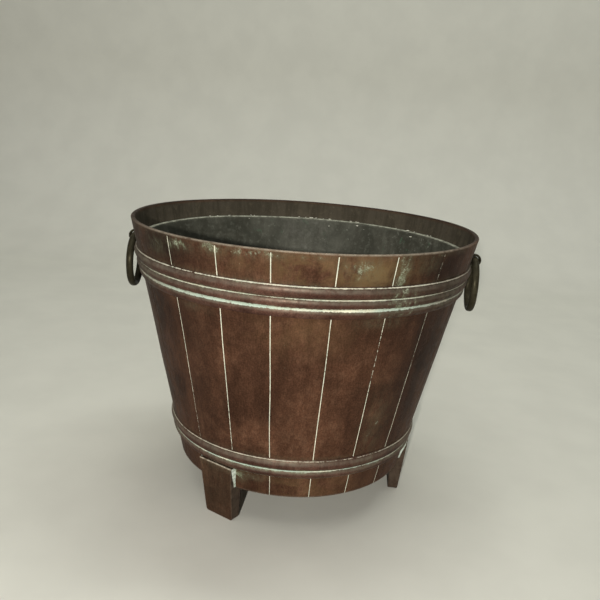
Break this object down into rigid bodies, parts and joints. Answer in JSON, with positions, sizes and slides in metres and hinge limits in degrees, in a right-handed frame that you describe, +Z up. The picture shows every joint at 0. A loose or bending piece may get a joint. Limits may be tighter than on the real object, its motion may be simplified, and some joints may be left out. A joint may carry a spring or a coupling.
{
  "type": "planter pot",
  "caption": "Tapered metal planter with engraved stave lines, reeded hoops, plate feet, hanging ring handles and a lift-out liner.",
  "frame": {"origin": "on the floor, under the middle of the pot", "axes": "+Z up through the mouth, +X through the right-hand ring handle, -Y towards the front"},
  "size_m": [0.2414, 0.2296, 0.188],
  "materials": {
    "wall_brass": "brown patina, worn",
    "base_brass": "dull brown patina",
    "hoop_brass": "reddish brown patina, verdigris in the grooves",
    "foot_brass": "brown patina",
    "handle_brass": "dark olive-brown patina",
    "solder": "soft solder with pale green corrosion",
    "liner_zinc": "dull grey-green zinc"
  },
  "bodies": {
    "pot": {"pot_wall": "wall_brass", "base_disc": "base_brass", "upper_hoop": "hoop_brass", "lower_hoop": "hoop_brass", "foot_front_left": "foot_brass", "foot_right": "foot_brass", "foot_back": "foot_brass", "solder_front_left_near": "solder", "solder_front_left_far": "solder", "solder_right_near": "solder", "solder_right_far": "solder", "solder_back_near": "solder", "solder_back_far": "solder", "lug_left": "handle_brass", "lug_right": "handle_brass"},
    "right_ring": {"ring_right": "handle_brass"},
    "left_ring": {"ring_left": "handle_brass"},
    "liner": {"liner_wall": "liner_zinc", "liner_base": "liner_zinc"}
  },
  "joints": [
    {"name": "right_ring_hinge", "type": "hinge", "parent": "pot", "child": "right_ring", "pos_m": [0.11645, 0, 0.16948], "axis": [0, -1, 0], "range_deg": [-12, 175]},
    {"name": "left_ring_hinge", "type": "hinge", "parent": "pot", "child": "left_ring", "pos_m": [-0.11645, 0, 0.16948], "axis": [0, 1, 0], "range_deg": [-12, 175]},
    {"name": "liner_lift", "type": "slide", "parent": "pot", "child": "liner", "axis": [0, 0, 1], "range_m": [0, 0.2]}
  ]
}
